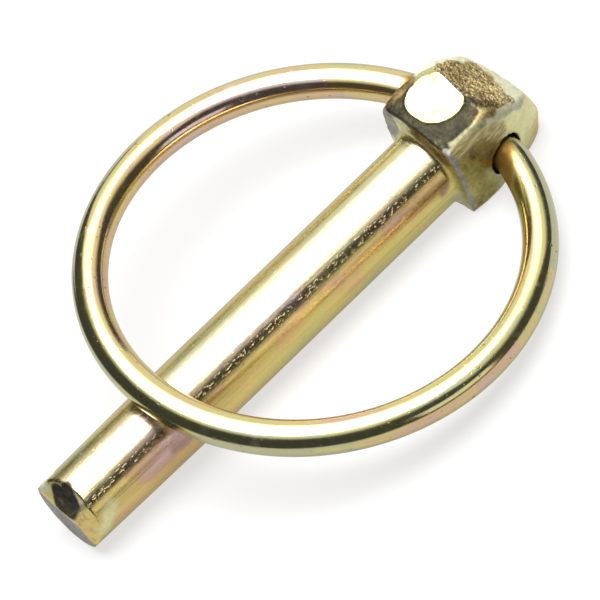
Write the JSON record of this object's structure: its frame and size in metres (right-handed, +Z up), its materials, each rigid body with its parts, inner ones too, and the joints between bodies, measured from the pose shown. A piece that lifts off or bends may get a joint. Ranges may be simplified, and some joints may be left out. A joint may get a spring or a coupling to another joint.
{
  "type": "linch pin",
  "caption": "Straight round pin with a blunt block head and a hinged wire ring that snaps over the shank to lock it in a hole.",
  "frame": {"origin": "centre of the shank at the head's shoulder", "axes": "+X along the shank towards its tip, +Z up out of the head's front face, which the closed ring lies over; the flat back is at the bottom"},
  "size_m": [0.0751, 0.0566, 0.0159],
  "materials": {
    "pin_plating": "forged steel, yellow passivated zinc plating, rough on the head and drawn smooth on the shank",
    "ring_plating": "drawn steel wire, bright yellow passivated zinc plating"
  },
  "bodies": {
    "pin": {"pin": "pin_plating"},
    "ring": {"ring": "ring_plating"}
  },
  "joints": [
    {"name": "ring_swing", "type": "hinge", "parent": "pin", "child": "ring", "pos_m": [-0.0069, 0, 0], "axis": [0, -0.9893, 0.1461], "range_deg": [0, 343]}
  ]
}
